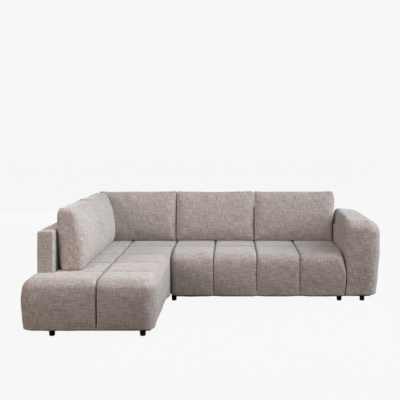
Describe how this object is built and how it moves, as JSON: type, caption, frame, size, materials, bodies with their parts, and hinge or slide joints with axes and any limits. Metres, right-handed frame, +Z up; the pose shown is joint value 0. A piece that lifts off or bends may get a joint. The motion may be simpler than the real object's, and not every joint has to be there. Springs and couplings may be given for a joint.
{
  "type": "corner sofa",
  "caption": "L-shaped upholstered corner sofa with channel-quilted seats, an open-ended chaise, one armrest and loose back cushions.",
  "frame": {"origin": "on the floor, under the middle of the sofa's overall width and depth", "axes": "+X to the sofa's armrest end as seen from the front, +Y to the back panel, +Z up"},
  "size_m": [2.9206, 2.13, 0.94],
  "materials": {
    "upholstery": "heathered flat weave in warm grey",
    "foam": "open-cell foam",
    "timber": "sawn softwood",
    "dust_cloth": "thin non-woven cloth",
    "foot_plastic": "moulded, lightly grained",
    "clip_plastic": "moulded",
    "steel": "zinc plated"
  },
  "bodies": {
    "sofa": {"arm_bottom_board": "timber", "arm_cover": "upholstery", "arm_foam": "foam", "arm_top_board": "timber", "arm_uprights": "timber", "chaise_back_cover": "upholstery", "chaise_back_top_rail": "timber", "chaise_back_uprights": "timber", "chaise_cross_rails": "timber", "chaise_dust_cover": "dust_cloth", "chaise_front_rail": "timber", "chaise_left_rail": "timber", "chaise_rear_rail": "timber", "chaise_right_rail": "timber", "chaise_seat_cover": "upholstery", "chaise_seat_foam": "foam", "chaise_springs": "steel", "foot_arm_front": "foot_plastic", "foot_arm_rear": "foot_plastic", "foot_blocks": "timber", "foot_bolts": "steel", "foot_chaise_front_left": "foot_plastic", "foot_chaise_front_right": "foot_plastic", "foot_chaise_rear_left": "foot_plastic", "foot_chaise_rear_right": "foot_plastic", "foot_main_front_left": "foot_plastic", "foot_main_front_right": "foot_plastic", "foot_main_rear_left": "foot_plastic", "foot_main_rear_right": "foot_plastic", "frame_bolts": "steel", "hook_pins": "steel", "hook_plates": "steel", "hook_screws": "steel", "main_back_cover": "upholstery", "main_back_top_rail": "timber", "main_back_uprights": "timber", "main_dust_cover": "dust_cloth", "main_front_rail": "timber", "main_left_rail": "timber", "main_rear_rail": "timber", "main_right_rail": "timber", "main_seat_cover": "upholstery", "main_seat_foam": "foam", "main_spring_rail": "timber", "main_springs": "steel", "main_stretchers": "timber", "side_panel_cover": "upholstery", "side_panel_top_rail": "timber", "side_panel_uprights": "timber", "spring_clips": "clip_plastic"},
    "rear_cushion_1": {"rear_cushion_1_cover": "upholstery", "rear_cushion_1_filling": "foam"},
    "rear_cushion_2": {"rear_cushion_2_cover": "upholstery", "rear_cushion_2_filling": "foam"},
    "rear_cushion_3": {"rear_cushion_3_cover": "upholstery", "rear_cushion_3_filling": "foam"},
    "side_cushion_1": {"side_cushion_1_cover": "upholstery", "side_cushion_1_filling": "foam"},
    "side_cushion_2": {"side_cushion_2_cover": "upholstery", "side_cushion_2_filling": "foam"}
  },
  "joints": [
    {"name": "rear_cushion_1_lift", "type": "slide", "parent": "sofa", "child": "rear_cushion_1", "axis": [0, 0, 1], "range_m": [0, 0.52]},
    {"name": "rear_cushion_2_lift", "type": "slide", "parent": "sofa", "child": "rear_cushion_2", "axis": [0, 0, 1], "range_m": [0, 0.52]},
    {"name": "rear_cushion_3_lift", "type": "slide", "parent": "sofa", "child": "rear_cushion_3", "axis": [0, 0, 1], "range_m": [0, 0.52]},
    {"name": "side_cushion_1_lift", "type": "slide", "parent": "sofa", "child": "side_cushion_1", "axis": [0, 0, 1], "range_m": [0, 0.52]},
    {"name": "side_cushion_2_lift", "type": "slide", "parent": "sofa", "child": "side_cushion_2", "axis": [0, 0, 1], "range_m": [0, 0.52]}
  ]
}
